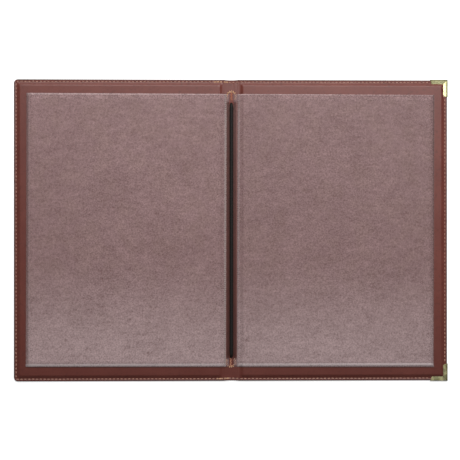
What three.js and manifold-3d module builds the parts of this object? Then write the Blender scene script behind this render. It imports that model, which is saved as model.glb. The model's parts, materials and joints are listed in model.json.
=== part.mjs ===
// Menu cover for A4 sheets, lying open on its outer face.
// Two stiffened leatherette covers meet at a soft spine. A welded double pocket of clear film lies
// inside and is held in the fold by a black elastic cord. The right cover has two metal corners.
// Millimetres. X runs across the open cover, Y up the page and Z up from the table.
// The origin is on the table, under the middle of the spine.

import * as THREE from "three";
import { mergeVertices } from "three/addons/utils/BufferGeometryUtils.js";
import Module from "manifold-3d";

// The sheet that the pockets hold
const pageWidth = 210;
const pageHeight = 297;
const pageSideRoom = 2.8;
const pageHeadRoom = 2;

// Clear film
const filmThickness = 0.25;
const pocketGap = 0.3;
const seamWidth = 2.2;
const gutterSeamHeight = 0.35;
const ribPitch = 2.2;
const ribHeight = 0.2;
const gutterSeamSetback = 0.5;
const filmLift = 0.4;
const notchWidth = 5;
const notchDepth = 14.6;

// Leatherette covers, boards and spine
const border = 15;
const spineWidth = 17.6;
const skinThickness = 0.9;
const liningThickness = 0.9;
const boardThickness = 1.8;
const boardClearance = 0.1;
const boardCornerRadius = 1.6;
const coverCornerRadius = 4.4;
const sewnStripWidth = 3;
const slopeWidth = 4.2;
const slopeSetback = 0.5;
const lipRadius = 0.6;
const stitchInset = 2.5;
const stitchGrooveWidth = 0.8;
const stitchGrooveDepth = 0.15;
const creaseSlit = 0.2;
const creaseGrooveWidth = 1.2;
const creaseGrooveDepth = 0.45;
const spineEndDip = 0.5;

// Elastic cord
const cordDiameter = 3.8;
const cordSeatGap = 0.1;
const cordTailGap = 0.3;
const cordHoleClearance = 0.35;

// Folded metal corners
const metalThickness = 0.5;
const metalLeg = 18.5;
const flangeWidth = 4.4;
const flangeEndSlant = 1.5;
const flangeEndRadius = 1.4;
const metalSideGap = 0.15;
const metalBendRadius = 0.5;
const flangeTipChamfer = 0.2;
const mitreSlit = 0.2;

// How finely curves are divided
const arcSteps = 6;
const slopeSteps = 6;
const lipSteps = 3;
const cordSides = 16;
const cordBendSteps = 6;
const spineEndSteps = 8;

// Heights above the table
const skinTop = skinThickness;
const stripTop = skinTop + liningThickness;
const boardTop = skinTop + boardThickness;
const plateauTop = boardTop + liningThickness;
const foldFilmTop = stripTop + filmThickness;

// Places across the cover, measured from the middle of the spine
const creaseX = spineWidth / 2;
const gutterSeamOuter = creaseX - gutterSeamSetback;
const gutterSeamInner = gutterSeamOuter - seamWidth;
const filmOuter = gutterSeamOuter + pageWidth + pageSideRoom + seamWidth;
const coverOuter = filmOuter + border;
const slopeFoot = creaseX + slopeSetback;
const panelInner = slopeFoot - sewnStripWidth;

// Places up the page, measured from the middle
const filmHalf = (pageHeight + pageHeadRoom + seamWidth) / 2;
const coverHalf = filmHalf + border;
const notchRadius = notchWidth / 2;
const cordHoleY = filmHalf - notchDepth + notchRadius;

// Where the board's recess starts and ends under the lining's slope, as shares of the slope
const recessFootShare = 0.22;
const recessTopShare = 0.74;
const boardInset = sewnStripWidth + recessTopShare * slopeWidth + boardClearance;

const wasm = await Module();
wasm.setup();

// A closed geometry as a solid that can be joined and cut
function solid(geometry) {
  const bare = geometry.clone();
  bare.deleteAttribute("normal");
  bare.deleteAttribute("uv");
  const merged = mergeVertices(bare, 1e-4);
  const mesh = new wasm.Mesh({
    numProp: 3,
    vertProperties: merged.getAttribute("position").array,
    triVerts: new Uint32Array(merged.index.array),
  });
  return new wasm.Manifold(mesh);
}

// The geometry of a solid after its cuts and joins
function geometryOf(cutSolid) {
  const mesh = cutSolid.getMesh();
  const geometry = new THREE.BufferGeometry();
  geometry.setAttribute("position", new THREE.BufferAttribute(Float32Array.from(mesh.vertProperties), 3));
  geometry.setIndex(new THREE.BufferAttribute(Uint32Array.from(mesh.triVerts), 1));
  const flat = geometry.toNonIndexed();
  flat.computeVertexNormals();
  return flat;
}

// The same form on the other side of a plane through the origin, with its faces still pointing out
function mirrored(geometry, axis) {
  const factors = { x: [-1, 1, 1], y: [1, -1, 1] }[axis];
  const copy = geometry.index ? geometry.toNonIndexed() : geometry.clone();
  copy.scale(...factors);
  const place = copy.getAttribute("position");
  for (let first = 0; first < place.count; first += 3) {
    const b = new THREE.Vector3().fromBufferAttribute(place, first + 1);
    const c = new THREE.Vector3().fromBufferAttribute(place, first + 2);
    place.setXYZ(first + 1, c.x, c.y, c.z);
    place.setXYZ(first + 2, b.x, b.y, b.z);
  }
  copy.computeVertexNormals();
  return copy;
}

// The triangles that close a ring of points, in the ring's own order
function capFaces(ring) {
  const normal = new THREE.Vector3();
  ring.forEach((point, at) => {
    const next = ring[(at + 1) % ring.length];
    normal.add(new THREE.Vector3().crossVectors(point, next));
  });
  normal.normalize();
  const start = Math.abs(normal.x) < 0.9 ? new THREE.Vector3(1, 0, 0) : new THREE.Vector3(0, 1, 0);
  const across = start.addScaledVector(normal, -start.dot(normal)).normalize();
  const up = new THREE.Vector3().crossVectors(normal, across);
  const flat = ring.map((point) => new THREE.Vector2(point.dot(across), point.dot(up)));
  return THREE.ShapeUtils.triangulateShape(flat, []);
}

// A closed form through rings of equally many points. The first ring runs counterclockwise as seen
// from outside the form, and the last ring closes it at the other end.
function loft(rings) {
  const count = rings[0].length;
  const positions = rings.flat().flatMap((point) => [point.x, point.y, point.z]);
  const index = [];
  for (let row = 0; row + 1 < rings.length; row++) {
    for (let at = 0; at < count; at++) {
      const a = row * count + at;
      const b = row * count + ((at + 1) % count);
      index.push(a, a + count, b, b, a + count, b + count);
    }
  }
  const last = (rings.length - 1) * count;
  capFaces(rings[0]).forEach(([a, b, c]) => index.push(a, b, c));
  capFaces(rings.at(-1)).forEach(([a, b, c]) => index.push(last + a, last + c, last + b));
  const geometry = new THREE.BufferGeometry();
  geometry.setAttribute("position", new THREE.Float32BufferAttribute(positions, 3));
  geometry.setIndex(index);
  const flat = geometry.toNonIndexed();
  flat.computeVertexNormals();
  return flat;
}

// An outline in plan, carried up from one height to another
function plate(outline, low, high) {
  const isShape = outline instanceof THREE.Shape;
  const shape = isShape ? outline : new THREE.Shape(outline.map(([x, y]) => new THREE.Vector2(x, y)));
  const settings = { depth: high - low, bevelEnabled: false, curveSegments: arcSteps };
  return new THREE.ExtrudeGeometry(shape, settings).translate(0, 0, low);
}

// A section of [x, z] points, carried along Y
function alongY(section, low, high) {
  const axes = new THREE.Matrix4().makeBasis(
    new THREE.Vector3(1, 0, 0),
    new THREE.Vector3(0, 0, 1),
    new THREE.Vector3(0, -1, 0),
  );
  return plate(section, 0, high - low).applyMatrix4(axes).translate(0, high, 0);
}

// A section of [y, z] points, carried along X
function alongX(section, low, high) {
  const axes = new THREE.Matrix4().makeBasis(
    new THREE.Vector3(0, 1, 0),
    new THREE.Vector3(0, 0, 1),
    new THREE.Vector3(1, 0, 0),
  );
  return plate(section, 0, high - low).applyMatrix4(axes).translate(low, 0, 0);
}

function box(low, high) {
  const size = high.map((value, at) => value - low[at]);
  const middle = high.map((value, at) => (value + low[at]) / 2);
  return new THREE.BoxGeometry(...size).translate(...middle);
}

// Smooth rise from 0 to 1
function ease(share) {
  return share * share * (3 - 2 * share);
}

// A cover's outline at some distance in from its edges, as a ring counterclockwise from above.
// Towards the spine the outline starts past the crease, where the piece is cut off later.
function panelRing(inset, z) {
  const left = panelInner + inset;
  const right = coverOuter - inset;
  const top = coverHalf - inset;
  const outerRadius = Math.max(coverCornerRadius - inset, boardCornerRadius);
  const corners = [
    [right - outerRadius, outerRadius - top, outerRadius, -0.5],
    [right - outerRadius, top - outerRadius, outerRadius, 0],
    [left + boardCornerRadius, top - boardCornerRadius, boardCornerRadius, 0.5],
    [left + boardCornerRadius, boardCornerRadius - top, boardCornerRadius, 1],
  ];
  return corners.flatMap(([x, y, radius, turn]) =>
    Array.from({ length: arcSteps + 1 }, (_, step) => {
      const angle = (turn + (0.5 * step) / arcSteps) * Math.PI;
      return new THREE.Vector3(x + radius * Math.cos(angle), y + radius * Math.sin(angle), z);
    }),
  );
}

// The spine's outline, with ends that are drawn in along a shallow curve between the creases
function spineRing(inset, z) {
  const half = creaseX - creaseSlit / 2;
  const end = Array.from({ length: spineEndSteps + 1 }, (_, step) => {
    const share = (2 * step) / spineEndSteps - 1;
    return [share * half, coverHalf - inset - spineEndDip * (1 - share * share)];
  });
  const bottom = end.map(([x, y]) => new THREE.Vector3(x, -y, z));
  const top = end.map(([x, y]) => new THREE.Vector3(-x, y, z));
  return [...bottom, ...top];
}

// The lining's rounded lip and its groove for the stitches, as [inset, z] pairs from inside to edge
function sewnStripProfile() {
  const half = stitchGrooveWidth / 2;
  const groove = [
    [stitchInset + half, stripTop],
    [stitchInset, stripTop - stitchGrooveDepth],
    [stitchInset - half, stripTop],
  ];
  const lip = Array.from({ length: lipSteps + 1 }, (_, step) => {
    const angle = (step / lipSteps) * (Math.PI / 2);
    return [lipRadius * (1 - Math.sin(angle)), stripTop - lipRadius * (1 - Math.cos(angle))];
  });
  return [...groove, ...lip];
}

// The outer skin's rounded lip, as [inset, z] pairs from edge to underside
function skinLipProfile() {
  return Array.from({ length: lipSteps + 1 }, (_, step) => {
    const angle = (step / lipSteps) * (Math.PI / 2);
    return [lipRadius * (1 - Math.cos(angle)), lipRadius * (1 - Math.sin(angle))];
  });
}

// Height of the lining's top over the slope, from the sewn strip to the board
function liningHeight(share) {
  return stripTop + boardThickness * ease(share);
}

// Cuts a right-hand panel off at the crease, and bevels its upper edge there if it is the lining
function cutAtCrease(panel, bevelled) {
  const low = [creaseX + creaseSlit / 2, -coverHalf - 1, -1];
  const keep = box(low, [coverOuter + 1, coverHalf + 1, plateauTop + 1]);
  const cut = panel.intersect(solid(keep));
  return bevelled ? cut.subtract(solid(creaseGroove())) : cut;
}

// The pressed groove along a crease
function creaseGroove() {
  const half = creaseGrooveWidth / 2;
  const section = [
    [creaseX, stripTop - creaseGrooveDepth],
    [creaseX + half, stripTop],
    [creaseX + half, stripTop + 1],
    [creaseX - half, stripTop + 1],
    [creaseX - half, stripTop],
  ];
  return alongY(section, -coverHalf - 1, coverHalf + 1);
}

// The metal corner's section at right angles to the cover's edge, as [inset, z] pairs. It holds the
// plate below, the wall and the flange above.
function metalSection() {
  const outside = metalSideGap + metalThickness;
  const top = stripTop + metalThickness;
  const bend = Array.from({ length: lipSteps + 1 }, (_, step) => (step / lipSteps) * (Math.PI / 2));
  const lowerBend = bend.map((angle) => [
    -outside + metalBendRadius * (1 - Math.sin(angle)),
    metalBendRadius * (1 - Math.cos(angle)),
  ]);
  const upperBend = bend.map((angle) => [
    -outside + metalBendRadius * (1 - Math.cos(angle)),
    top - metalBendRadius * (1 - Math.sin(angle)),
  ]);
  return [
    [flangeWidth, 0],
    ...lowerBend,
    ...upperBend,
    [flangeWidth - flangeTipChamfer, top],
    [flangeWidth, top - flangeTipChamfer],
    [flangeWidth, stripTop],
    [-metalSideGap, stripTop],
    [-metalSideGap, metalThickness],
    [flangeWidth, metalThickness],
  ];
}

// The plan of the leg along the top edge, with a slanted end that is rounded on the inside
function metalLegOutline() {
  const slant = flangeEndSlant / flangeWidth;
  const inner = coverHalf - flangeWidth;
  const endX = coverOuter - metalLeg;
  const shape = new THREE.Shape();
  shape.moveTo(coverOuter + 1, coverHalf + 1);
  shape.lineTo(endX - slant, coverHalf + 1);
  shape.lineTo(endX + slant * (flangeWidth - flangeEndRadius), inner + flangeEndRadius);
  shape.quadraticCurveTo(endX + flangeEndSlant, inner, endX + flangeEndSlant + flangeEndRadius, inner);
  shape.lineTo(coverOuter + 1, inner);
  shape.closePath();
  return shape;
}

// One folded metal corner at the right cover's upper corner. A three-cornered plate lies under the
// cover, walls run round both edges and two mitred flanges grip the sewn strip.
function metalCornerSolid() {
  const x = coverOuter;
  const y = coverHalf;
  const top = stripTop + metalThickness;
  const outside = metalSideGap + metalThickness;
  const reach = metalLeg + flangeWidth;
  const tip = [x + outside, y + outside];
  const mitre = plate([tip, [tip[0] - reach, tip[1]], [tip[0] - reach, tip[1] - reach]], -1, top + 1);
  const section = metalSection().map(([inset, z]) => [y - inset, z]);
  const topLeg = solid(alongX(section, x - metalLeg, x + outside))
    .intersect(solid(mitre))
    .intersect(solid(plate(metalLegOutline(), -1, top + 1)));
  const sideLeg = topLeg.translate(-x, -y, 0).mirror([1, -1, 0]).translate(x, y, 0);
  const topFoot = [x - metalLeg, y];
  const sideFoot = [x, y - metalLeg];
  const base = plate([[x, y], topFoot, sideFoot], 0, metalThickness);
  const farX = x - 2 * metalLeg;
  const farY = y - 2 * metalLeg;
  const underCut = plate([topFoot, sideFoot, [x, farY], [farX, farY], [farX, y]], -1, metalThickness);
  const slitHalf = mitreSlit / 2;
  const slitOutline = [
    [x - slitHalf, y + slitHalf],
    [x + slitHalf, y - slitHalf],
    [x - reach + slitHalf, y - reach - slitHalf],
    [x - reach - slitHalf, y - reach + slitHalf],
  ];
  const slit = plate(slitOutline, stripTop - metalThickness, top + 1);
  return topLeg
    .add(sideLeg)
    .add(solid(base))
    .subtract(solid(underCut))
    .subtract(solid(slit));
}

// Leather that the upper metal corner displaces: its plate underneath and its flanges on top
function metalCornerSeat() {
  const x = coverOuter;
  const y = coverHalf;
  const reach = metalLeg + metalSideGap;
  const under = [
    [x + 1, y + 1],
    [x - reach, y + 1],
    [x - reach, y],
    [x, y - reach],
    [x + 1, y - reach],
  ];
  const depth = flangeWidth + metalSideGap;
  const topBand = box([x - reach, y - depth, stripTop], [x + 1, y + 1, plateauTop + 1]);
  const sideBand = box([x - depth, y - reach, stripTop], [x + 1, y + 1, plateauTop + 1]);
  return { under: plate(under, -1, metalThickness), bands: [topBand, sideBand] };
}

function outerSkin(withCorners) {
  const profile = [[0, skinTop], ...skinLipProfile()];
  let skin = solid(loft(profile.map(([inset, z]) => panelRing(inset, z))));
  if (withCorners) {
    const { under } = metalCornerSeat();
    skin = skin.subtract(solid(under)).subtract(solid(mirrored(under, "y")));
  }
  return geometryOf(cutAtCrease(skin, false));
}

function lining(withCorners) {
  const slope = Array.from({ length: slopeSteps }, (_, step) => {
    const share = 1 - step / slopeSteps;
    return [sewnStripWidth + share * slopeWidth, liningHeight(share)];
  });
  const recess = Array.from({ length: slopeSteps }, (_, step) => {
    const share = step / (slopeSteps - 1);
    const across = recessFootShare + (recessTopShare - recessFootShare) * share;
    return [sewnStripWidth + across * slopeWidth, skinTop + boardThickness * ease(share)];
  });
  const profile = [...slope, [sewnStripWidth, stripTop], ...sewnStripProfile(), [0, skinTop], ...recess];
  let sheet = solid(loft(profile.map(([inset, z]) => panelRing(inset, z))));
  if (withCorners) {
    metalCornerSeat().bands.forEach((band) => {
      sheet = sheet.subtract(solid(band)).subtract(solid(mirrored(band, "y")));
    });
  }
  return geometryOf(cutAtCrease(sheet, true));
}

function board() {
  return loft([panelRing(boardInset, boardTop), panelRing(boardInset, skinTop)]);
}

function spineSkin() {
  const profile = [[0, skinTop], ...skinLipProfile()];
  return loft(profile.map(([inset, z]) => spineRing(inset, z)));
}

function spineLining() {
  const profile = [...sewnStripProfile(), [0, skinTop]];
  const sheet = solid(loft(profile.map(([inset, z]) => spineRing(inset, z))));
  const hole = new THREE.CylinderGeometry(
    cordDiameter / 2 + cordHoleClearance,
    cordDiameter / 2 + cordHoleClearance,
    liningThickness + 2,
    4 * arcSteps,
  );
  hole.rotateX(Math.PI / 2).translate(0, cordHoleY, stripTop);
  const groove = creaseGroove();
  return geometryOf(
    sheet
      .subtract(solid(hole))
      .subtract(solid(mirrored(hole, "y")))
      .subtract(solid(groove))
      .subtract(solid(mirrored(groove, "x"))),
  );
}

// The film between the pockets, with a round-ended notch at each end where the cord goes down
function insertFold() {
  const shape = new THREE.Shape();
  shape.moveTo(-gutterSeamOuter, -filmHalf);
  shape.lineTo(-notchRadius, -filmHalf);
  shape.lineTo(-notchRadius, -cordHoleY);
  shape.absarc(0, -cordHoleY, notchRadius, Math.PI, 0, true);
  shape.lineTo(notchRadius, -filmHalf);
  shape.lineTo(gutterSeamOuter, -filmHalf);
  shape.lineTo(gutterSeamOuter, filmHalf);
  shape.lineTo(notchRadius, filmHalf);
  shape.lineTo(notchRadius, cordHoleY);
  shape.absarc(0, cordHoleY, notchRadius, 0, Math.PI, true);
  shape.lineTo(-notchRadius, filmHalf);
  shape.lineTo(-gutterSeamOuter, filmHalf);
  shape.closePath();
  return plate(shape, stripTop, foldFilmTop);
}

// The ribbed weld beside the fold
function gutterSeam() {
  const low = foldFilmTop;
  const high = low + gutterSeamHeight;
  const ribs = Math.max(1, Math.floor((2 * filmHalf) / ribPitch));
  const pitch = (2 * filmHalf) / ribs;
  const crest = Array.from({ length: ribs }, (_, rib) => [
    [filmHalf - rib * pitch, high],
    [filmHalf - (rib + 0.5) * pitch, high + ribHeight],
  ]).flat();
  const section = [[-filmHalf, low], [filmHalf, low], ...crest, [-filmHalf, high]];
  return alongX(section, gutterSeamInner, gutterSeamOuter);
}

// One layer of a pocket, lying on the board and coming down the slope towards the fold
function pocketLayer(above, thickness, low, high, from = 0) {
  const slope = Array.from({ length: slopeSteps }, (_, step) => {
    const share = (step + 1) / slopeSteps;
    return [slopeFoot + share * slopeWidth, liningHeight(share) + filmLift * (1 - ease(share))];
  });
  const under = (from ? [[from, plateauTop]] : slope).concat([[filmOuter, plateauTop]]);
  const lower = under.map(([x, z]) => [x, z + above]);
  const upper = under.map(([x, z]) => [x, z + above + thickness]).reverse();
  return alongY([...lower, ...upper], low, high);
}

function backFilm() {
  return pocketLayer(0, filmThickness, -filmHalf, filmHalf);
}

function frontFilm() {
  return pocketLayer(filmThickness + pocketGap, filmThickness, -filmHalf, filmHalf);
}

function outerSeam() {
  return pocketLayer(filmThickness, pocketGap, seamWidth - filmHalf, filmHalf, filmOuter - seamWidth);
}

function bottomSeam() {
  return pocketLayer(filmThickness, pocketGap, -filmHalf, seamWidth - filmHalf);
}

// The elastic lies along the fold, over the film, and turns down into a hole at each end
function elasticCord() {
  const radius = cordDiameter / 2;
  const middleZ = foldFilmTop + cordSeatGap + radius;
  const bendRadius = middleZ - skinTop - cordTailGap;
  const turn = Array.from({ length: cordBendSteps + 1 }, (_, step) => (step / cordBendSteps) * (Math.PI / 2));
  const rise = turn.map((angle) => ({
    y: -cordHoleY + bendRadius * (1 - Math.cos(angle)),
    z: middleZ - bendRadius * (1 - Math.sin(angle)),
    slope: [Math.sin(angle), Math.cos(angle)],
  }));
  const fall = rise
    .map(({ y, z, slope }) => ({ y: -y, z, slope: [slope[0], -slope[1]] }))
    .reverse();
  const rings = [...rise, ...fall].map(({ y, z, slope }) =>
    Array.from({ length: cordSides }, (_, side) => {
      const angle = (side / cordSides) * 2 * Math.PI;
      const across = radius * Math.cos(angle);
      const out = radius * Math.sin(angle);
      return new THREE.Vector3(across, y - out * slope[1], z + out * slope[0]);
    }),
  );
  return loft(rings);
}

const finishes = {
  skin: new THREE.MeshStandardMaterial({ color: 0x6b3a33, roughness: 0.55, metalness: 0 }),
  lining: new THREE.MeshStandardMaterial({ color: 0x74413a, roughness: 0.5, metalness: 0 }),
  board: new THREE.MeshStandardMaterial({ color: 0x9b948a, roughness: 0.9, metalness: 0 }),
  film: new THREE.MeshStandardMaterial({
    color: 0xb9a9a8,
    roughness: 0.35,
    metalness: 0,
    transparent: true,
    opacity: 0.5,
  }),
  seam: new THREE.MeshStandardMaterial({ color: 0xb6aaa6, roughness: 0.4, metalness: 0 }),
  elastic: new THREE.MeshStandardMaterial({ color: 0x1c1b1b, roughness: 0.8, metalness: 0 }),
  brass: new THREE.MeshStandardMaterial({ color: 0xc9bb7c, roughness: 0.25, metalness: 1 }),
};

function piece(name, geometry, finish) {
  const mesh = new THREE.Mesh(geometry, finishes[finish]);
  mesh.name = name;
  return mesh;
}

// The board and the pocket are the same on both covers, apart from their hand
function coverPieces(side, hand) {
  const shared = {
    board: [board(), "board"],
    back_film: [backFilm(), "film"],
    front_film: [frontFilm(), "film"],
    outer_seam: [outerSeam(), "seam"],
    bottom_seam: [bottomSeam(), "seam"],
  };
  return Object.entries(shared).map(([name, [geometry, finish]]) =>
    piece(`${side}_${name}`, hand < 0 ? mirrored(geometry, "x") : geometry, finish),
  );
}

function rightCover() {
  const cover = new THREE.Group();
  const corner = geometryOf(metalCornerSolid());
  cover.add(
    piece("right_skin", outerSkin(true), "skin"),
    piece("right_lining", lining(true), "lining"),
    ...coverPieces("right", 1),
    piece("top_metal_corner", corner, "brass"),
    piece("bottom_metal_corner", mirrored(corner, "y"), "brass"),
  );
  return cover;
}

function leftCover() {
  const cover = new THREE.Group();
  cover.add(
    piece("left_skin", mirrored(outerSkin(false), "x"), "skin"),
    piece("left_lining", mirrored(lining(false), "x"), "lining"),
    ...coverPieces("left", -1),
  );
  return cover;
}

function spine() {
  const group = new THREE.Group();
  const seam = gutterSeam();
  group.add(
    piece("spine_skin", spineSkin(), "skin"),
    piece("spine_lining", spineLining(), "lining"),
    piece("insert_fold", insertFold(), "film"),
    piece("right_gutter_seam", seam, "seam"),
    piece("left_gutter_seam", mirrored(seam, "x"), "seam"),
    piece("elastic_cord", elasticCord(), "elastic"),
  );
  return group;
}

const menuCover = new THREE.Group();
menuCover.add(rightCover(), spine(), leftCover());

export default menuCover;
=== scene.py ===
# Open A4 menu cover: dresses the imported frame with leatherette, film, thread, elastic and brass
import json
import math
import random

import bmesh
import bpy
from mathutils import Matrix, Vector


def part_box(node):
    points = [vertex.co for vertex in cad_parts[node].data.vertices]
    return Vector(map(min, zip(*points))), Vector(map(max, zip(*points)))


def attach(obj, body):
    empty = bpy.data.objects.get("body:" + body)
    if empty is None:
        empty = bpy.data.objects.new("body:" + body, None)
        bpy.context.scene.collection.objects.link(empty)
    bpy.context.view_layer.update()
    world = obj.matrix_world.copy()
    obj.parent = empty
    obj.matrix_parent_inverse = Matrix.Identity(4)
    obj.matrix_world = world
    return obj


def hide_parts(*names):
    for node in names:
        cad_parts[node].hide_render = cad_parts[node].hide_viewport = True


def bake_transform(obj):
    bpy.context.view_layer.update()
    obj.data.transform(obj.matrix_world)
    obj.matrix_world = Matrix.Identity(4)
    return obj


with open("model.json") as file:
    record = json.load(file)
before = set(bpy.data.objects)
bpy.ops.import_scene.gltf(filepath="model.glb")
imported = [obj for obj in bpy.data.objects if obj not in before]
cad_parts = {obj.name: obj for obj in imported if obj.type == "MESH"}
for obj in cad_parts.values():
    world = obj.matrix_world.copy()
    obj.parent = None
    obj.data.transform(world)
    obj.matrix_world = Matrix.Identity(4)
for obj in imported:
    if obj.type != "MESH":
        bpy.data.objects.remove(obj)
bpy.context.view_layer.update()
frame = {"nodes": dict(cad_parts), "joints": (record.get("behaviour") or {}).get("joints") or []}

mm = 0.001
nodes = frame["nodes"]
random.seed(7)

# places read from the frame
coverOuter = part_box("left_skin")[0].x * -1
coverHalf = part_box("left_skin")[1].y
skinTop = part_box("left_skin")[1].z
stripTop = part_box("spine_lining")[1].z
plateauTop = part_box("right_lining")[1].z
creaseX = frame["joints"][0]["pos_m"][0]
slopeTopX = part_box("right_board")[0].x
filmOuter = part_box("right_front_film")[1].x
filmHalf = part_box("right_front_film")[1].y
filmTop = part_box("right_front_film")[1].z
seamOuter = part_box("right_gutter_seam")[1].x
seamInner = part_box("right_gutter_seam")[0].x
cordLow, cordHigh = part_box("elastic_cord")
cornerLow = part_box("top_metal_corner")[0]


# objects and meshes

def newObject(name, bm, material, body=None, smooth=True):
    mesh = bpy.data.meshes.new(name)
    bm.to_mesh(mesh)
    bm.free()
    made = bpy.data.objects.new(name, mesh)
    bpy.context.scene.collection.objects.link(made)
    mesh.materials.append(material)
    for polygon in mesh.polygons:
        polygon.use_smooth = smooth
    if body:
        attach(made, body)
    return made


def sharpen(bm, angle):
    for edge in bm.edges:
        if len(edge.link_faces) == 2 and edge.calc_face_angle(0) > angle:
            edge.smooth = False


def cutAt(bm, axis, places):
    for place in places:
        normal = Vector((axis == "x", axis == "y", axis == "z"))
        geometry = bm.verts[:] + bm.edges[:] + bm.faces[:]
        bmesh.ops.bisect_plane(bm, geom=geometry, dist=1e-7, plane_co=normal * place, plane_no=normal)


def keepRightHalf(bm):
    geometry = bm.verts[:] + bm.edges[:] + bm.faces[:]
    cut = bmesh.ops.bisect_plane(
        bm, geom=geometry, dist=1e-7, plane_co=(0, 0, 0), plane_no=(1, 0, 0), clear_inner=True
    )
    edges = [item for item in cut["geom_cut"] if isinstance(item, bmesh.types.BMEdge)]
    bmesh.ops.holes_fill(bm, edges=edges, sides=0)


def flipX(bm):
    bmesh.ops.scale(bm, vec=(-1, 1, 1), verts=bm.verts)
    bmesh.ops.reverse_faces(bm, faces=bm.faces)


def ease(share):
    share = min(max(share, 0), 1)
    return share * share * (3 - 2 * share)


def span(low, high, count):
    return [low + (high - low) * step / count for step in range(count + 1)]


# shader nodes

class Wire:
    def __init__(self, shader, socket):
        self.shader = shader
        self.socket = socket

    def math(self, operation, first, second):
        return self.shader.node("ShaderNodeMath", {"operation": operation}, {0: first, 1: second})

    def __add__(self, other):
        return self.math("ADD", self, other)

    def __radd__(self, other):
        return self.math("ADD", other, self)

    def __sub__(self, other):
        return self.math("SUBTRACT", self, other)

    def __rsub__(self, other):
        return self.math("SUBTRACT", other, self)

    def __mul__(self, other):
        return self.math("MULTIPLY", self, other)

    def __rmul__(self, other):
        return self.math("MULTIPLY", other, self)

    def sine(self):
        return self.math("SINE", self, 0)

    def size(self):
        return self.math("ABSOLUTE", self, 0)

    def larger(self, other):
        return self.math("MAXIMUM", self, other)


class Shader:
    def __init__(self, name):
        self.material = bpy.data.materials.new(name)
        self.material.use_nodes = True
        self.tree = self.material.node_tree
        self.tree.nodes.clear()
        self.place = self.node("ShaderNodeTexCoord", output="Object")

    def node(self, kind, settings=None, inputs=None, output=0):
        made = self.tree.nodes.new(kind)
        for name, value in (settings or {}).items():
            setattr(made, name, value)
        for name, value in (inputs or {}).items():
            if isinstance(value, Wire):
                self.tree.links.new(value.socket, made.inputs[name])
            else:
                made.inputs[name].default_value = value
        return Wire(self, made.outputs[output]) if made.outputs else None

    def plan(self):
        parts = self.node("ShaderNodeSeparateXYZ", inputs={"Vector": self.place})
        return [Wire(self, parts.socket.node.outputs[index]) for index in range(2)]

    def noise(self, scale, detail=3, roughness=0.5, vector=None):
        inputs = {"Vector": vector or self.place, "Scale": scale, "Detail": detail, "Roughness": roughness}
        return self.node("ShaderNodeTexNoise", inputs=inputs)

    def stretched(self, scale, turn=(0, 0, 0)):
        return self.node("ShaderNodeMapping", inputs={"Vector": self.place, "Scale": scale, "Rotation": turn})

    def voronoi(self, scale, feature="F1", vector=None):
        inputs = {"Vector": vector or self.place, "Scale": scale}
        return self.node("ShaderNodeTexVoronoi", {"feature": feature}, inputs)

    def band(self, value, low, high, toLow=0, toHigh=1):
        inputs = {"Value": value, "From Min": low, "From Max": high, "To Min": toLow, "To Max": toHigh}
        return self.node("ShaderNodeMapRange", {"interpolation_type": "SMOOTHSTEP"}, inputs)

    def fade(self, value, full, gone, strength=1, left=0):
        return self.band(value, full, gone, strength, left)

    def mix(self, factor, first, second):
        inputs = {0: factor, 6: first, 7: second}
        return self.node("ShaderNodeMix", {"data_type": "RGBA"}, inputs, output=2)

    def bump(self, height, strength, distance):
        inputs = {"Height": height, "Strength": strength, "Distance": distance}
        return self.node("ShaderNodeBump", inputs=inputs)

    def surface(self, **sockets):
        names = {name.replace("_", " "): value for name, value in sockets.items()}
        return self.node("ShaderNodeBsdfPrincipled", inputs=names)

    def finish(self, **sockets):
        self.node("ShaderNodeOutputMaterial", inputs={"Surface": self.surface(**sockets)})
        return self.material


def shade(red, green, blue, alpha=1):
    return (red, green, blue, alpha)


leather = {
    "base": shade(0.143, 0.031, 0.021),
    # deep: darker tone for the grain hollows and for the painted shade at the foot and far left
    "deep": shade(0.075, 0.016, 0.011),
    "pale": shade(0.165, 0.040, 0.028),
    # edge: painted shade colour for the rounded outer edge of the leatherette
    "edge": shade(0.016, 0.005, 0.004),
    "edgeWidth": 1.2 * mm,
    "edgeStrength": 0.85,
    "footShade": (-coverHalf, -60 * mm, 0.35),
    "leftShade": (-coverOuter, -190 * mm, 0.25),
    "grainScale": 900,
    "pebbleScale": 420,
    "cloudScale": 28,
    "grainDepth": 0.07 * mm,
}


def leatherMaterial(name, gloss):
    shader = Shader(name)
    x, y = shader.plan()
    pebbles = shader.voronoi(leather["pebbleScale"], "SMOOTH_F1")
    grain = shader.noise(leather["grainScale"], 4, 0.6)
    height = (1 - pebbles) * 0.7 + grain * 0.5
    cloud = shader.noise(leather["cloudScale"], 3)
    color = shader.mix(shader.band(cloud, 0.35, 0.7), leather["base"], leather["pale"])
    color = shader.mix(shader.band(pebbles, 0.45, 0.8, 0, 0.5), color, leather["deep"])
    # painted shade: the leatherette is darkened towards the foot and towards the far left, where the light
    # falls off
    paintedShadeMask = shader.fade(y, *leather["footShade"]).larger(shader.fade(x, *leather["leftShade"]))
    color = shader.mix(paintedShadeMask, color, leather["deep"])
    # painted shade: the leatherette darkens over the last millimetre to its rounded outer edge
    rim = (x.size() - coverOuter).larger(y.size() - coverHalf)
    width = leather["edgeWidth"]
    edgeShade = shader.band(rim, -width, -0.4 * width, 0, leather["edgeStrength"])
    color = shader.mix(edgeShade, color, leather["edge"])
    rough = gloss + shader.noise(90, 2) * 0.1
    bump = shader.bump(height, 0.6, leather["grainDepth"])
    return shader.finish(Base_Color=color, Roughness=rough, Normal=bump, Specular_IOR_Level=0.5)


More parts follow.
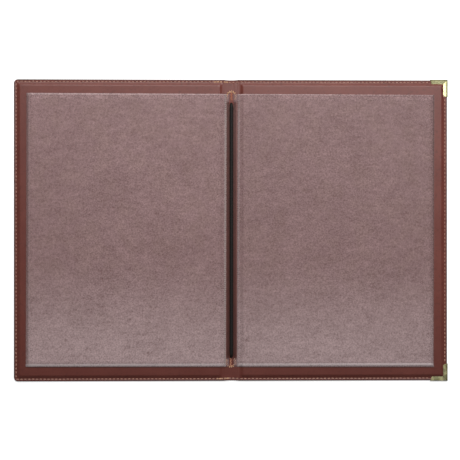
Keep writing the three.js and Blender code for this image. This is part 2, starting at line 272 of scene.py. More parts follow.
film = {
    "haze": shade(0.362, 0.226, 0.226),
    "hazeWarm": shade(0.358, 0.226, 0.219),
    # edge: painted highlight colour for the film's edge lines and the weld rib crests
    "edge": shade(0.80, 0.66, 0.66),
    # foot: painted sheen colour, paler, for the foot of the front film
    "foot": shade(0.530, 0.385, 0.385),
    # dusk: painted shade colour for the right-hand pocket and the sunk gutter
    "dusk": shade(0.060, 0.032, 0.028),
    "front": (0.60, 1.25),
    "back": (0.10, 0.06),
    "grains": {"fine": 1.5, "blotch": 0.42, "cloud": 0.28},
    "footHaze": (-filmHalf, -20 * mm),
    "rightDusk": (0, 20 * mm, 0, 0.07),
    "topLine": (filmHalf - 2.4 * mm, filmHalf - 1.6 * mm, 0, 0.3),
    "footLine": (3.0 * mm, 0.7 * mm, 1.9 * mm, 1),
    "leftLine": (2.2 * mm, 0.3 * mm, 1.2 * mm, 0.08),
    "lineOpacity": 0.45,
    "leftEnd": (1.2 * mm - filmOuter, 0.5 * mm - filmOuter, 1, 0.55),
    "rightEnd": (filmOuter - 1.2 * mm, filmOuter - 0.6 * mm, 1, 0.35),
    "foldEnds": (139 * mm, 143 * mm),
    "foldOpacity": (0.32, 0.1),
    "ribPitch": 2.2 * mm,
    "ribEnds": (125 * mm, 140 * mm),
}


def filmMaterial(name, opacity, mottle, isFront):
    # a mottled haze, with a painted sheen making it paler at the foot and painted highlights along the front
    # layer's upper and lower edges
    shader = Shader(name)
    x, y = shader.plan()
    grains = film["grains"]
    fine = shader.noise(620, 4, 0.62)
    blotch = shader.noise(90, 3, 0.5, shader.stretched((1, 2.2, 1)))
    cloud = shader.noise(20, 3, 0.5)
    spread = (fine - 0.5) * grains["fine"] + (blotch - 0.5) * grains["blotch"]
    spread = spread + (cloud - 0.5) * grains["cloud"]
    alpha = opacity + spread * mottle
    color = shader.mix(shader.band(shader.noise(60, 2), 0.4, 0.65), film["haze"], film["hazeWarm"])
    if isFront:
        # painted sheen: the front film is paler towards its foot
        color = shader.mix(shader.fade(y, *film["footHaze"]), color, film["foot"])
        # painted shade: the front film is slightly darkened over the right-hand pocket
        color = shader.mix(shader.band(x, *film["rightDusk"]), color, film["dusk"])
        footInset, *footWidths = film["footLine"]
        leftInset, *leftWidths = film["leftLine"]
        # painted highlights: pale lines along the film's top, foot and left edges
        edgeHighlight = shader.band(y, *film["topLine"])
        edgeHighlight = edgeHighlight.larger(shader.fade((y + (filmHalf - footInset)).size(), *footWidths))
        edgeHighlight = edgeHighlight.larger(shader.fade((x + (filmOuter - leftInset)).size(), *leftWidths))
        color = shader.mix(edgeHighlight, color, film["edge"])
        alpha = alpha + edgeHighlight * film["lineOpacity"]
        alpha = alpha * shader.fade(x, *film["leftEnd"]) * shader.fade(x, *film["rightEnd"])
    else:
        atEnds = shader.band(y.size(), *film["foldEnds"])
        # painted shade: between the gutter seams the back film is tinted dark and made more opaque, for the
        # sunk gutter
        foldShade = shader.fade(x.size(), seamInner - 1.5 * mm, seamInner) * (1 - atEnds)
        color = shader.mix(foldShade, color, film["dusk"])
        endOpacity, foldOpacity = film["foldOpacity"]
        alpha = alpha + atEnds * endOpacity + foldShade * foldOpacity
    ripple = shader.noise(45, 2, 0.5) + shader.noise(240, 2) * 0.15
    bump = shader.bump(ripple, 0.3, 0.5 * mm)
    rough = 0.46 + shader.noise(120, 2) * 0.15
    return shader.finish(
        Base_Color=color, Roughness=rough, Alpha=alpha, Normal=bump, IOR=1.45, Specular_IOR_Level=0.3
    )


def weldMaterial(name, color, opacity, ribs=0):
    shader = Shader(name)
    y = shader.plan()[1]
    speckle = shader.noise(500, 3)
    wave = (y * (2 * math.pi / film["ribPitch"])).sine()
    # painted highlight: the rib crests of the welds are paler and more opaque
    crestHighlight = shader.band(wave, -0.6, 0.8) * ribs * shader.fade(y, *film["ribEnds"])
    alpha = opacity + (speckle - 0.5) * 0.3 + crestHighlight * 0.4
    tone = shader.mix(crestHighlight, color, film["edge"])
    bump = shader.bump(shader.noise(300, 2), 0.3, 0.3 * mm)
    return shader.finish(Base_Color=tone, Roughness=0.35, Alpha=alpha, Normal=bump, Specular_IOR_Level=0.4)


def threadMaterial(name, color):
    shader = Shader(name)
    twist = shader.node(
        "ShaderNodeTexWave",
        {"bands_direction": "DIAGONAL"},
        {"Vector": shader.place, "Scale": 620, "Distortion": 1.5, "Detail": 1},
    )
    dark = shade(*(value * 0.55 for value in color[:3]))
    tone = shader.mix(shader.band(twist, 0.1, 0.8), dark, color)
    # painted light: the thread is paler towards the foot of the cover
    footPaintedLight = shader.fade(shader.plan()[1], -coverHalf, -40 * mm, 0.25)
    tone = shader.mix(footPaintedLight, tone, shade(0.86, 0.52, 0.36))
    bump = shader.bump(twist, 0.6, 0.1 * mm)
    return shader.finish(Base_Color=tone, Roughness=0.6, Normal=bump, Sheen_Weight=0.3)


def elasticMaterial():
    shader = Shader("blackBraid")
    fuzz = shader.noise(2600, 3)
    color = shader.mix(fuzz, shade(0.003, 0.003, 0.002), shade(0.014, 0.012, 0.011))
    bump = shader.bump(fuzz, 0.5, 0.08 * mm)
    return shader.finish(Base_Color=color, Roughness=0.6, Normal=bump, Specular_IOR_Level=0.25)


def brassMaterial():
    # polished on the flanges, with a painted dark reflection over the bends and painted pale reflections in
    # patches on the lower corner
    shader = Shader("polishedBrass")
    x, y = shader.plan()
    haze = shader.noise(130, 4)
    color = shader.mix(shader.band(haze, 0.4, 0.7), shade(0.66, 0.62, 0.32), shade(0.80, 0.76, 0.44))
    # painted reflection: the bends and the outer strip of the side flange are darkened as if reflecting a
    # dark surround
    paintedDarkReflection = shader.band(y.size(), coverHalf - 1.1 * mm, coverHalf - 0.3 * mm)
    paintedDarkReflection = paintedDarkReflection.larger(shader.band(x, coverOuter - 1.7 * mm, coverOuter - 1.1 * mm, 0, 0.8))
    color = shader.mix(paintedDarkReflection, color, shade(0.13, 0.12, 0.045))
    # painted reflection: pale, less metallic patches on the lower corner stand in for bright reflections
    paintedGlints = shader.band(shader.noise(140, 2, 0.5), 0.4, 0.65) * shader.fade(y, -coverHalf, 0, 0.8)
    color = shader.mix(paintedGlints * 0.8, color, shade(0.62, 0.56, 0.30))
    rough = 0.14 + haze * 0.12 + paintedDarkReflection * 0.25
    scratches = shader.noise(700, 2, 0.5, shader.stretched((1, 0.12, 1), (0, 0, 0.7)))
    bump = shader.bump(scratches, 0.12, 0.04 * mm)
    return shader.finish(Base_Color=color, Metallic=0.85 - paintedGlints * 0.6, Roughness=rough, Normal=bump)


def boardMaterial():
    shader = Shader("greyBoard")
    fibre = shader.noise(500, 5)
    color = shader.mix(fibre, shade(0.26, 0.24, 0.21), shade(0.42, 0.39, 0.34))
    return shader.finish(Base_Color=color, Roughness=0.95, Normal=shader.bump(fibre, 0.4, 0.1 * mm))


liningLeather = leatherMaterial("liningLeatherette", 0.38)
skinLeather = leatherMaterial("outerLeatherette", 0.40)
frontFilm = filmMaterial("hazyFrontFilm", *film["front"], True)
backFilm = filmMaterial("backFilm", *film["back"], False)
clearWeld = weldMaterial("clearWeld", shade(0.36, 0.19, 0.17), 0.16)
footWeld = weldMaterial("footWeld", shade(0.50, 0.37, 0.36), 0.5)
ribbedWeld = weldMaterial("ribbedWeld", shade(0.36, 0.28, 0.26), 0.4, 0.32)
faintWeld = weldMaterial("faintWeld", shade(0.34, 0.25, 0.24), 0.25, 0.3)
tanThread = threadMaterial("tanThread", shade(0.50, 0.25, 0.18))
goldThread = threadMaterial("goldThread", shade(0.68, 0.38, 0.19))
rustThread = threadMaterial("rustThread", shade(0.42, 0.11, 0.04))
blackBraid = elasticMaterial()
brass = brassMaterial()
greyBoard = boardMaterial()
print("materials ready")


# leatherette sheets

sheet = {
    "radius": 4.4 * mm,
    "innerRadius": 1.6 * mm,
    "strip": 3.0 * mm,
    "slope": 4.2 * mm,
    "lip": 0.6 * mm,
    "stitchInset": 2.5 * mm,
    "grooveHalf": 0.5 * mm,
    "grooveDepth": 0.18 * mm,
    "lipSteps": 5,
    "slopeSteps": 10,
    "arcSteps": 8,
    "past": 30 * mm,
    "hold": 0.25 * mm,
    "boardRoom": 0.1 * mm,
    "underSlope": (0.22, 0.52),
    "underSteps": 5,
    "stripGap": 0.02 * mm,
    "waist": 0.5 * mm,
    "waistRamp": (10 * mm, 6 * mm),
    "bendReach": 2.2 * mm,
    "sharpAngle": math.radians(50),
}
slopeFoot = slopeTopX - sheet["boardRoom"] - sum(sheet["underSlope"]) * sheet["slope"]
slopeEnd = slopeFoot + sheet["slope"]
boardRise = plateauTop - stripTop


def arc(cx, cy, radius, start, end, steps):
    return [(cx + radius * math.cos(a), cy + radius * math.sin(a)) for a in span(start, end, steps)]


def ring(startX, inset):
    right, top = coverOuter - inset, coverHalf - inset
    small, steps, quarter = sheet["innerRadius"], sheet["arcSteps"], math.pi / 2
    big = max(sheet["radius"] - inset, small)
    points = arc(right - big, big - top, big, -quarter, 0, steps)
    points += arc(right - big, top - big, big, 0, quarter, steps)
    points += arc(startX + small, top - small, small, quarter, 2 * quarter, steps)
    return points + arc(startX + small, small - top, small, 2 * quarter, 3 * quarter, steps)


def closedStack(levels):
    bm = bmesh.new()
    rings = [[bm.verts.new((x, y, z)) for x, y in ring(startX, inset)] for startX, inset, z in levels]
    bm.faces.new(rings[0])
    bm.faces.new(rings[-1])
    for first, second in zip(rings, rings[1:]):
        for at in range(len(first)):
            bm.faces.new((first[at - 1], first[at], second[at], second[at - 1]))
    bmesh.ops.recalc_face_normals(bm, faces=bm.faces)
    return bm


def lipLevels(rimZ, flatZ):
    turn = span(0, math.pi / 2, sheet["lipSteps"])
    way = 1 if flatZ > rimZ else -1
    bend = sheet["lip"]
    return [(bend * (1 - math.sin(a)), flatZ - way * bend * (1 - math.cos(a))) for a in turn]


def grooveLevels(flatZ, way):
    centre, half, deep = sheet["stitchInset"], sheet["grooveHalf"], sheet["grooveDepth"] * way
    shares = [(-1, 0), (-0.55, 0.8), (0, 1), (0.55, 0.8), (1, 0)]
    return [(centre - half * side, flatZ - deep * depth) for side, depth in shares]


def liningLevels():
    past = -sheet["past"]
    strip, slope = sheet["strip"], sheet["slope"]
    levels = [(slopeEnd + sheet["hold"], strip + slope + sheet["hold"], plateauTop)]
    for share in reversed(span(0, 1, sheet["slopeSteps"])):
        levels.append((slopeFoot + share * slope, strip + share * slope, stripTop + boardRise * ease(share)))
    flat = [(strip - sheet["stripGap"], stripTop), *grooveLevels(stripTop, 1), *lipLevels(skinTop, stripTop)]
    levels += [(past, inset, z) for inset, z in flat]
    levels.append((past, 0, skinTop))
    start, length = sheet["underSlope"]
    for share in span(0, 1, sheet["underSteps"]):
        across = slope * (start + length * share)
        levels.append((slopeFoot + across, strip + across, skinTop + boardRise * ease(share)))
    return levels


def skinLevels():
    past = -sheet["past"]
    rim = [(past, 0, skinTop)]
    lips = [(past, inset, z) for inset, z in reversed(lipLevels(skinTop, 0))]
    groove = [(past, inset, z) for inset, z in reversed(grooveLevels(0, -1))]
    return rim + lips + groove + [(past, sheet["stitchInset"] + 2 * sheet["grooveHalf"], 0)]


creases = {
    "lines": [(-7.6, -0.08, 0.6), (2.1, -0.09, 0.7), (4.0, 0.08, 0.9), (6.1, -0.08, 0.8), (8.0, 0.06, 0.8)],
    "fade": (150 * mm, 158 * mm),
    "end": (3.6 * mm, 0.8 * mm),
    "groove": (0.3 * mm, 0.7 * mm),
    "dimple": (0.55 * mm, 2.6 * mm),
}
cordHoleY = cordHigh.y - 2.5 * mm


def relief(x, y, side):
    # pressed grooves at the creases, soft folds in the turned-in end, dents where the cord goes in
    depth, half = creases["groove"]
    drop = -depth * max(0, 1 - abs(abs(x) - creaseX) / half)
    if y > 0:
        start, full = creases["fade"]
        fade = ease((y - start) / (full - start))
        for place, height, width in creases["lines"]:
            away = (side * abs(x) - place * mm) / (width * mm)
            drop += fade * height * mm * math.exp(-away * away)
        inset, length = creases["end"]
        drop *= 1 - ease((y - coverHalf + inset) / length)
    deep, reach = creases["dimple"]
    away = math.hypot(x, abs(y) - cordHoleY) / reach
    return drop - deep * math.exp(-away * away)


def drawIn(bm):
    # the sewn edge is drawn in a little between the creases
    half = creaseX - 0.1 * mm
    start, length = sheet["waistRamp"]
    for vert in bm.verts:
        x, y = vert.co.x, vert.co.y
        if abs(x) < half:
            ramp = ease((abs(y) - (coverHalf - start)) / length)
            vert.co.y -= math.copysign(sheet["waist"] * (1 - (x / half) ** 2) * ramp, y)


metal = {"flange": 4.4 * mm, "flangeDip": 0.3 * mm, "room": 0.15 * mm, "plate": 0.5 * mm, "step": 0.06 * mm}
cornerReach = coverOuter - cornerLow.x + metal["room"]


def pressLining(bm):
    # the metal flanges press the sewn strip and the foot of the slope flat
    band = metal["flange"] + metal["room"]
    for sign in (1, -1):
        for vert in bm.verts:
            insetX = coverOuter - vert.co.x
            insetY = coverHalf - sign * vert.co.y
            inLeg = min(insetX, insetY) < band and max(insetX, insetY) < cornerReach
            if inLeg and vert.co.z > stripTop:
                vert.co.z = stripTop


def letPlateIn(bm):
    # the three-cornered metal plate lies in a shallow seat in the outer face
    for sign in (1, -1):
        for offset in (0, metal["step"]):
            geometry = bm.verts[:] + bm.edges[:] + bm.faces[:]
            foot = Vector((coverOuter - cornerReach + offset, sign * coverHalf, 0))
            bmesh.ops.bisect_plane(bm, geom=geometry, dist=1e-7, plane_co=foot, plane_no=Vector((1, sign, 0)))
        for vert in bm.verts:
            inset = coverOuter - vert.co.x + coverHalf - sign * vert.co.y
            if inset < cornerReach - metal["step"] / 2 and vert.co.z < metal["plate"]:
                vert.co.z = metal["plate"]


def halfSheet(levels, side, lining):
    bm = closedStack(levels)
    keepRightHalf(bm)
    half = creaseX + sheet["bendReach"]
    cutAt(bm, "x", span(0, half, 22)[1:])
    if lining:
        near = [cordHoleY + step * mm for step in (-6, -4, -3, -2, -1, 0, 1, 2, 3, 4, 6)]
        far = [step * 12 * mm for step in range(1, 11)]
        cutAt(bm, "y", [0, *[sign * place for sign in (1, -1) for place in (*near, *far)]])
        cutAt(bm, "y", span(creases["fade"][0], coverHalf - 4 * mm, 6))
        if side > 0:
            places = [cornerReach, cornerReach + 0.1 * mm]
            cutAt(bm, "x", [coverOuter - place for place in places])
            cutAt(bm, "y", [sign * (coverHalf - place) for sign in (1, -1) for place in places])
            pressLining(bm)
        bmesh.ops.triangulate(bm, faces=[face for face in bm.faces if len(face.verts) > 4])
        for vert in bm.verts:
            if vert.co.z > stripTop - sheet["lip"] and vert.co.x < half:
                vert.co.z += relief(vert.co.x, vert.co.y, side)
    elif side > 0:
        letPlateIn(bm)
    drawIn(bm)
    if side < 0:
        flipX(bm)
    sharpen(bm, sheet["sharpAngle"])
    return bm


for side, name in ((1, "right"), (-1, "left")):
    cover = f"{name}_cover"
    lining = halfSheet(liningLevels(), side, True)
    skin = halfSheet(skinLevels(), side, False)
    liningPiece = newObject(f"{name}Lining", lining, liningLeather)
    skinPiece = newObject(f"{name}Skin", skin, skinLeather)
    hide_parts(f"{name}_lining", *(["spine_lining"] if side > 0 else []))
    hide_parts(f"{name}_skin", *(["spine_skin"] if side > 0 else []))
    for piece in (liningPiece, skinPiece):
        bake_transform(piece)
    nodes[f"{name}_board"].data.materials.clear()
    nodes[f"{name}_board"].data.materials.append(greyBoard)
print("leatherette sheets ready")


# film insert

insert = {
    "thick": 0.2 * mm,
    "backAbove": 0.22 * mm,
    "frontAbove": 0.5 * mm,
    "bow": 0.4 * mm,
    "notchHalf": 2.5 * mm,
    "notchEnd": cordHoleY - 2.5 * mm,
    "notchCuts": (0.9, 1.7, 2.2),
    "anchorRise": 0.32 * mm,
    "anchorPlace": (146.5 * mm, 5.5 * mm),
    "anchorCuts": (140, 142, 144, 146, 148),
    "wider": {1: -0.5 * mm, -1: 1.7 * mm},
    "squeeze": (0.995, -0.15 * mm),
    "shift": 0.4 * mm,
    "turn": math.radians(-0.15),
    "turnFrom": 3 * mm,
}


def filmHeight(x, above):
    share = (x - slopeFoot) / sheet["slope"]
    bow = insert["bow"] * (1 - ease(share)) * ease((x - creaseX) / mm)
    return stripTop + boardRise * ease(share) + bow + above


def settle(bm):
    # the real insert lies slightly turned and towards the right, and is a little short
    squeeze, drop = insert["squeeze"]
    turn = Matrix.Translation((insert["shift"], 0, 0)) @ Matrix.Rotation(insert["turn"], 4, "Z")
    for vert in bm.verts:
        vert.co.y = vert.co.y * squeeze + drop
        flat = turn @ Vector((vert.co.x, vert.co.y, 0))
        share = ease((abs(vert.co.x) - insert["turnFrom"]) / insert["turnFrom"])
        vert.co.x += (flat.x - vert.co.x) * share
        vert.co.y += (flat.y - vert.co.y) * share


def overAnchor(x, y):
    # the film rides up over the ring of stitches at each end of the cord
    place, reach = insert["anchorPlace"]
    away = math.hypot(x, abs(y) - place) / reach
    return insert["anchorRise"] * math.exp(-(away ** 4))


def cutNotches(bm):
    # the fold film ends in a round notch above and below the cord
    half, end = insert["notchHalf"], insert["notchEnd"]
    cutAt(bm, "y", [sign * step * mm for sign in (1, -1) for step in insert["anchorCuts"]])
    cutAt(bm, "x", [step * mm for step in insert["notchCuts"]])
    cutAt(bm, "y", [end, -end])
    centres = [(face, face.calc_center_median()) for face in bm.faces]
    inside = [face for face, centre in centres if centre.x < half and abs(centre.y) > end]
    bmesh.ops.delete(bm, geom=inside, context="FACES")
    for vert in bm.verts:
        if vert.co.x < half + 1e-6 and abs(abs(vert.co.y) - end) < 1e-6:
            share = vert.co.x / half
            rise = half * (1 - math.sqrt(max(0, 1 - share * share)))
            vert.co.y += math.copysign(rise, vert.co.y)


def filmSheet(side, startX, aboveStart, above, notched):
    bm = bmesh.new()
    stations = [startX, *[x for x in (2.5 * mm, 5 * mm) if x > startX], seamInner, seamOuter]
    stations = sorted(set(stations + span(seamOuter, slopeEnd, 14)))
    far = filmOuter + insert["wider"][side]
    stations += [x for x in span(slopeEnd, far, 34) if x > stations[-1] + 1e-6]

    def heightAt(x):
        share = ease((x - seamOuter) / (slopeEnd - seamOuter))
        return filmHeight(x, aboveStart + (above - aboveStart) * share)

    edge = bm.edges.new([bm.verts.new((startX, y, heightAt(startX))) for y in (-filmHalf, filmHalf)])
    for x, nextX in zip(stations, stations[1:]):
        made = bmesh.ops.extrude_edge_only(bm, edges=[edge])["geom"]
        edge = next(item for item in made if isinstance(item, bmesh.types.BMEdge))
        shift = Vector((nextX - x, 0, heightAt(nextX) - heightAt(x)))
        bmesh.ops.translate(bm, vec=shift, verts=list(edge.verts))
    cutAt(bm, "y", span(-filmHalf, filmHalf, 46)[1:-1])
    if notched:
        cutNotches(bm)
    for vert in bm.verts:
        vert.co.z += overAnchor(vert.co.x, vert.co.y)
    bmesh.ops.recalc_face_normals(bm, faces=bm.faces)
    if sum(face.normal.z for face in bm.faces) < 0:
        bmesh.ops.reverse_faces(bm, faces=bm.faces)
    bmesh.ops.solidify(bm, geom=bm.faces, thickness=insert["thick"])
    return bm


for side, name in ((1, "right"), (-1, "left")):
    cover = f"{name}_cover"
    back = filmSheet(side, 0, insert["backAbove"], insert["backAbove"], True)
    front = filmSheet(side, seamInner, insert["frontAbove"], filmTop - plateauTop, False)
    for layer in (back, front):
        if side < 0:
            flipX(layer)
        settle(layer)
    backPiece = newObject(f"{name}BackFilm", back, backFilm)
    frontPiece = newObject(f"{name}FrontFilm", front, frontFilm)
    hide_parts(f"{name}_back_film", *(["insert_fold"] if side > 0 else []))
    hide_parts(f"{name}_front_film")
    for piece in (backPiece, frontPiece):
        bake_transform(piece)
    gutterWeld = faintWeld if side > 0 else ribbedWeld
    welds = (("outer", clearWeld, cover), ("bottom", footWeld, cover), ("gutter", gutterWeld, "spine"))
    for place, material, body in welds:
        bm = bmesh.new()
        bm.from_mesh(nodes[f"{name}_{place}_seam"].data)
        settle(bm)
        weld = newObject(f"{name}{place.capitalize()}Weld", bm, material, body, False)
        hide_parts(f"{name}_{place}_seam")
print("film insert ready")


# elastic cord

cord = {
    "sides": 28,
    "strands": 16,
    "pitch": 6.0 * mm,
    "relief": 0.09 * mm,
    "step": 0.45 * mm,
    "bendSteps": 10,
}


def elasticCord():
    radius = (cordHigh.x - cordLow.x) / 2
    middle = cordHigh.z - radius
    end = cordHigh.y - radius
    bend = middle - cordLow.z
    half = end - bend
    bm = bmesh.new()
    bmesh.ops.create_circle(bm, cap_ends=False, segments=cord["sides"], radius=radius - cord["relief"])
    bmesh.ops.rotate(bm, matrix=Matrix.Rotation(math.pi / 2, 3, "X"), verts=bm.verts)
    bmesh.ops.translate(bm, vec=(0, -half, middle), verts=bm.verts)
    count = int(2 * half / cord["step"])
    each = (0, 2 * half / count, 0)
    bmesh.ops.spin(bm, geom=bm.edges[:], cent=(0, 0, 0), axis=(0, 1, 0), dvec=each, angle=0, steps=count)
    for vert in bm.verts:
        angle = math.atan2(vert.co.z - middle, vert.co.x)
        along = vert.co.y / cord["pitch"] * 2 * math.pi
        around = angle * cord["strands"] / 4
        crossing = math.cos(around + along) * math.cos(around - along)
        out = Vector((vert.co.x, 0, vert.co.z - middle)).normalized()
        vert.co += out * cord["relief"] * crossing
    for sign in (1, -1):
        rim = [edge for edge in bm.edges if edge.is_boundary and edge.verts[0].co.y * sign > 0]
        turn = Matrix.Rotation(-sign * math.pi / 2 / cord["bendSteps"], 3, "X")
        for step in range(cord["bendSteps"]):
            result = bmesh.ops.extrude_edge_only(bm, edges=rim)["geom"]
            rim = [item for item in result if isinstance(item, bmesh.types.BMEdge)]
            verts = [item for item in result if isinstance(item, bmesh.types.BMVert)]
            bmesh.ops.rotate(bm, cent=(0, sign * half, middle - bend), matrix=turn, verts=verts)
        bmesh.ops.holes_fill(bm, edges=rim, sides=0)
    bmesh.ops.recalc_face_normals(bm, faces=bm.faces)
    return bm


cordPiece = newObject("elasticCord", elasticCord(), blackBraid, "spine")
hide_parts("elastic_cord")
print("elastic ready")


# brass corners

def brassCorner(node, sign):
    # the folded CAD corner, with its flanges pinched down into the leather at their free edges
    bm = bmesh.new()
    bm.from_mesh(nodes[node].data)
    bmesh.ops.remove_doubles(bm, verts=bm.verts, dist=1e-6)
    for vert in bm.verts:
        inset = min(coverOuter - vert.co.x, coverHalf - sign * vert.co.y)
        if vert.co.z > stripTop - 0.01 * mm:
            vert.co.z -= metal["flangeDip"] * max(0, inset / metal["flange"])
    bmesh.ops.recalc_face_normals(bm, faces=bm.faces)
    return bm


for sign, side in ((1, "top"), (-1, "bottom")):
    node = f"{side}_metal_corner"
    corner = newObject(f"{side}BrassCorner", brassCorner(node, sign), brass, "right_cover", False)
    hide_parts(node)
print("brass corners ready")


# sewing thread

thread = {
    "pitch": 4.2 * mm,
    "length": 2.7 * mm,
    "width": 0.95 * mm,
    "height": 0.6 * mm,
    "sink": 0.12 * mm,
    "under": 0.02 * mm,
    "creaseGap": 0.3 * mm,
    "cornerGap": 1.6 * mm,
    "wander": 0.06 * mm,
    "turn": 0.05,
    "lengths": (0.94, 1.04),
    "widths": (0.92, 1.08),
    "plump": (0.9, 0.8),
}


def stitchForm():
    # one plump stitch of unit length, width and height
    bm = bmesh.new()
    bmesh.ops.create_uvsphere(bm, u_segments=8, v_segments=6, radius=0.5)
    bmesh.ops.rotate(bm, matrix=Matrix.Rotation(math.pi / 2, 3, "Y"), verts=bm.verts)
    size, power = thread["plump"]
    for vert in bm.verts:
        vert.co.y = size * math.copysign(abs(vert.co.y) ** power, vert.co.y)
        vert.co.z = size * math.copysign(abs(vert.co.z) ** power, vert.co.z)
    form = bpy.data.meshes.new("stitchForm")
    bm.to_mesh(form)
    bm.free()
    return form


oneStitch = stitchForm()


def addStitch(bm, x, y, z, angle, length, width, height):
    place = Matrix.Translation((x, y, z)) @ Matrix.Rotation(angle, 4, "Z")
    place = place @ Matrix.Diagonal((length, width, height, 1))
    oneStitch.transform(place)
    bm.from_mesh(oneStitch)
    oneStitch.transform(place.inverted())


def runAlong(bm, points, z):
    legs = [(Vector(b) - Vector(a)).length for a, b in zip(points, points[1:])]
    total = sum(legs)
    count = max(1, round(total / thread["pitch"]))
    for index in range(count):
        along = (index + 0.5) * total / count
        leg = 0
        while leg < len(legs) - 1 and along > legs[leg]:
            along -= legs[leg]
            leg += 1
        start, end = Vector(points[leg]), Vector(points[leg + 1])
        way = (end - start).normalized()
        spot = start + way * along
        spot += Vector((-way.y, way.x)) * random.uniform(-1, 1) * thread["wander"]
        angle = math.atan2(way.y, way.x) + random.uniform(-1, 1) * thread["turn"]
        length = thread["length"] * random.uniform(*thread["lengths"])
        width = thread["width"] * random.uniform(*thread["widths"])
        addStitch(bm, spot.x, spot.y, z, angle, length, width, thread["height"])


def coverRows(side):
    x, y = coverOuter - sheet["stitchInset"], coverHalf - sheet["stitchInset"]
    start = creaseX + thread["creaseGap"]
    if side < 0:
        r, quarter = sheet["radius"] - sheet["stitchInset"], math.pi / 2
        upper = arc(x - r, y - r, r, quarter, 0, 5)
        lower = arc(x - r, r - y, r, 0, -quarter, 5)
        rows = [[(start, y), *upper, *lower, (start, -y)]]
    else:
        # the rows stop at the metal corners
        stopX = cornerLow.x - thread["cornerGap"]
        stopY = coverHalf - (coverOuter - stopX)
        rows = [[(start, y), (stopX, y)], [(x, stopY), (x, -stopY)], [(start, -y), (stopX, -y)]]
    return [[(side * px, py) for px, py in row] for row in rows]


def spineRows():
    half = creaseX - thread["creaseGap"]
    y = coverHalf - sheet["stitchInset"]
    xs = span(-half, half, 8)
    return [[(x, s * (y - sheet["waist"] * (1 - (x / half) ** 2))) for x in xs] for s in (1, -1)]


for name, body, rows in (
    ("rightStitches", "right_cover", coverRows(1)),
    ("leftStitches", "left_cover", coverRows(-1)),
    ("spineStitches", "spine", spineRows()),
):
    bm = bmesh.new()
    for row in rows:
        runAlong(bm, row, stripTop + thread["sink"])
        runAlong(bm, row, thread["height"] / 2 + thread["under"])
    newObject(name, bm, tanThread, body)

backTack = {
    "top": [(-17.9, 2.7), (-14.6, 2.7), (-11.3, 2.7), (-7.4, 2.6), (-4.8, 2.4)],
    "bottom": [(-15.4, 2.6), (-12.9, 2.6), (-10.3, 2.2), (-6.9, 2.4), (-3.8, 3.0)],
    "lanes": (-0.34, 0.34),
    "width": 0.75,
    "height": 0.5,
    "lift": 0.18,
    "lean": 0.3,
    "wander": 0.3,
    "turn": 0.12,
}
for body, test in (("left_cover", lambda x: x < -creaseX), ("spine", lambda x: x >= -creaseX)):
    bm = bmesh.new()
    for sign, key in ((1, "top"), (-1, "bottom")):
        for place, length in backTack[key]:
            for lane in backTack["lanes"]:
                x = (place + random.uniform(-backTack["wander"], backTack["wander"])) * mm
                if test(place * mm):
                    waist = sheet["waist"] * max(0, 1 - (x / creaseX) ** 2)
                    y = sign * (coverHalf - sheet["stitchInset"] - waist) + lane * mm
                    z = stripTop + (backTack["lift"] - abs(lane) * backTack["lean"]) * mm
                    slant = random.uniform(-backTack["turn"], backTack["turn"])
                    width, height = backTack["width"] * mm, backTack["height"] * mm
                    addStitch(bm, x, y, z, slant, length * mm, width, height)
    newObject(f"{body}BackTack", bm, goldThread, body)

anchor = {
    "top": (0.0, 147.4),
    "bottom": (-0.7, -144.9),
    "radii": (4.7, 5.2),
    "count": 15,
    "hidden": 0.72,
    "slant": math.radians(38),
    "turn": 0.4,
    "lift": 0.1,
    "stitch": (2.9, 1.0, 0.46),
    "twistStitch": (3.4, 1.2, 0.44),
    "twistCount": 5,
    "twistPitch": 1.6,
}
bm = bmesh.new()
twist = bmesh.new()
z = stripTop + anchor["lift"] * mm
for key, inward in (("top", -1), ("bottom", 1)):
    cx, cy = anchor[key]
    for index in range(anchor["count"]):
        angle = 2 * math.pi * (index + 0.5) / anchor["count"]
        if math.sin(angle) * inward > anchor["hidden"]:
            continue
        x = cx + anchor["radii"][0] * math.cos(angle)
        y = cy + anchor["radii"][1] * math.sin(angle)
        slant = angle + anchor["slant"] + random.uniform(-anchor["turn"], anchor["turn"])
        addStitch(bm, x * mm, y * mm, z, slant, *[side * mm for side in anchor["stitch"]])
    for index in range(anchor["twistCount"]):
        slant = math.radians(55 if index % 2 else 125)
        y = cy + (index - anchor["twistCount"] // 2) * anchor["twistPitch"]
        addStitch(twist, cx * mm, y * mm, z, slant, *[side * mm for side in anchor["twistStitch"]])
newObject("anchorStitches", bm, goldThread, "spine")
newObject("anchorTwist", twist, rustThread, "spine")
bpy.data.meshes.remove(oneStitch)
print("thread ready")


# floor, light and camera

studio = {
    "world": 0.15,
    "key": ((0.12, 0.58, 0.95), (1.2, 0.4), 11.5),
    "window": ((0, 1.6, 1.0), (1.8, 0.6), 9),
    "glint": ((0.31, 0.32, 1.4), (0.15, 0.15), 0.26),
    "cameraAt": (-0.0373, 0.00035, 1.4065),
    "cameraTurn": (0, -0.02547, 0),
    "lens": 100,
    "floorDrop": 0.12 * mm,
    "floorGlow": (0.6 * mm, 1.0 * mm),
}


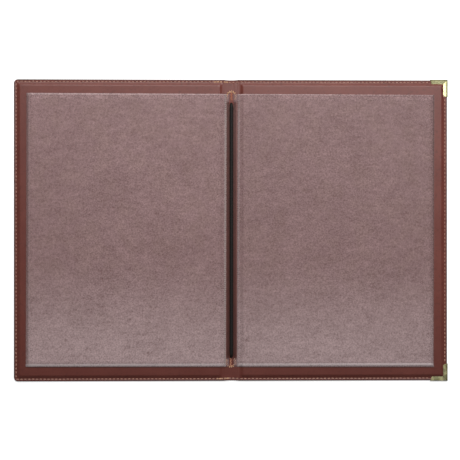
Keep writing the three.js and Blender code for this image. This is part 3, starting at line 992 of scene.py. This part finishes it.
def stageFloor():
    # clear from below and glowing against what lies on it, so that the underside can be looked at
    bm = bmesh.new()
    bmesh.ops.create_grid(bm, x_segments=1, y_segments=1, size=4)
    bmesh.ops.translate(bm, vec=(0, 0, -studio["floorDrop"]), verts=bm.verts)
    shader = Shader("paleFloor")
    isCamera = shader.node("ShaderNodeLightPath", output="Is Camera Ray")
    away = shader.node("ShaderNodeLightPath", output="Ray Length")
    touching = shader.band(away, *studio["floorGlow"], 1, 0)
    glow = shader.mix(isCamera.larger(touching), shade(0, 0, 0), shade(1, 1, 1))
    pale = shader.surface(
        Base_Color=shade(0.85, 0.85, 0.85),
        Roughness=0.9,
        Specular_IOR_Level=0.1,
        Emission_Color=glow,
        Emission_Strength=0.6,
    )
    fromBelow = shader.node("ShaderNodeNewGeometry", output="Backfacing")
    clear = shader.node("ShaderNodeBsdfTransparent")
    both = shader.node("ShaderNodeMixShader", inputs={0: fromBelow, 1: pale, 2: clear})
    shader.node("ShaderNodeOutputMaterial", inputs={"Surface": both})
    newObject("paleFloor", bm, shader.material)


def areaLamp(name, place, size, power):
    lamp = bpy.data.lights.new(name, "AREA")
    lamp.shape = "RECTANGLE"
    lamp.size, lamp.size_y = size
    lamp.energy = power
    made = bpy.data.objects.new(name, lamp)
    made.location = place
    made.rotation_euler = (-Vector(place)).to_track_quat("-Z", "Y").to_euler()
    bpy.context.scene.collection.objects.link(made)


def studioWorld():
    world = bpy.data.worlds.new("softWorld")
    world.use_nodes = True
    background = world.node_tree.nodes["Background"]
    background.inputs["Color"].default_value = (1, 1, 1, 1)
    background.inputs["Strength"].default_value = studio["world"]
    bpy.context.scene.world = world


def nearlyStraightDownCamera():
    data = bpy.data.cameras.new("photoCamera")
    data.lens = studio["lens"]
    data.sensor_width = 36
    data.clip_start = 0.01
    made = bpy.data.objects.new("photoCamera", data)
    made.location = studio["cameraAt"]
    made.rotation_euler = studio["cameraTurn"]
    bpy.context.scene.collection.objects.link(made)
    bpy.context.scene.camera = made


stageFloor()
areaLamp("keyLamp", *studio["key"])
areaLamp("windowLamp", *studio["window"])
areaLamp("glintLamp", *studio["glint"])
studioWorld()
nearlyStraightDownCamera()
bpy.context.scene.view_settings.view_transform = "Standard"
print("studio ready")
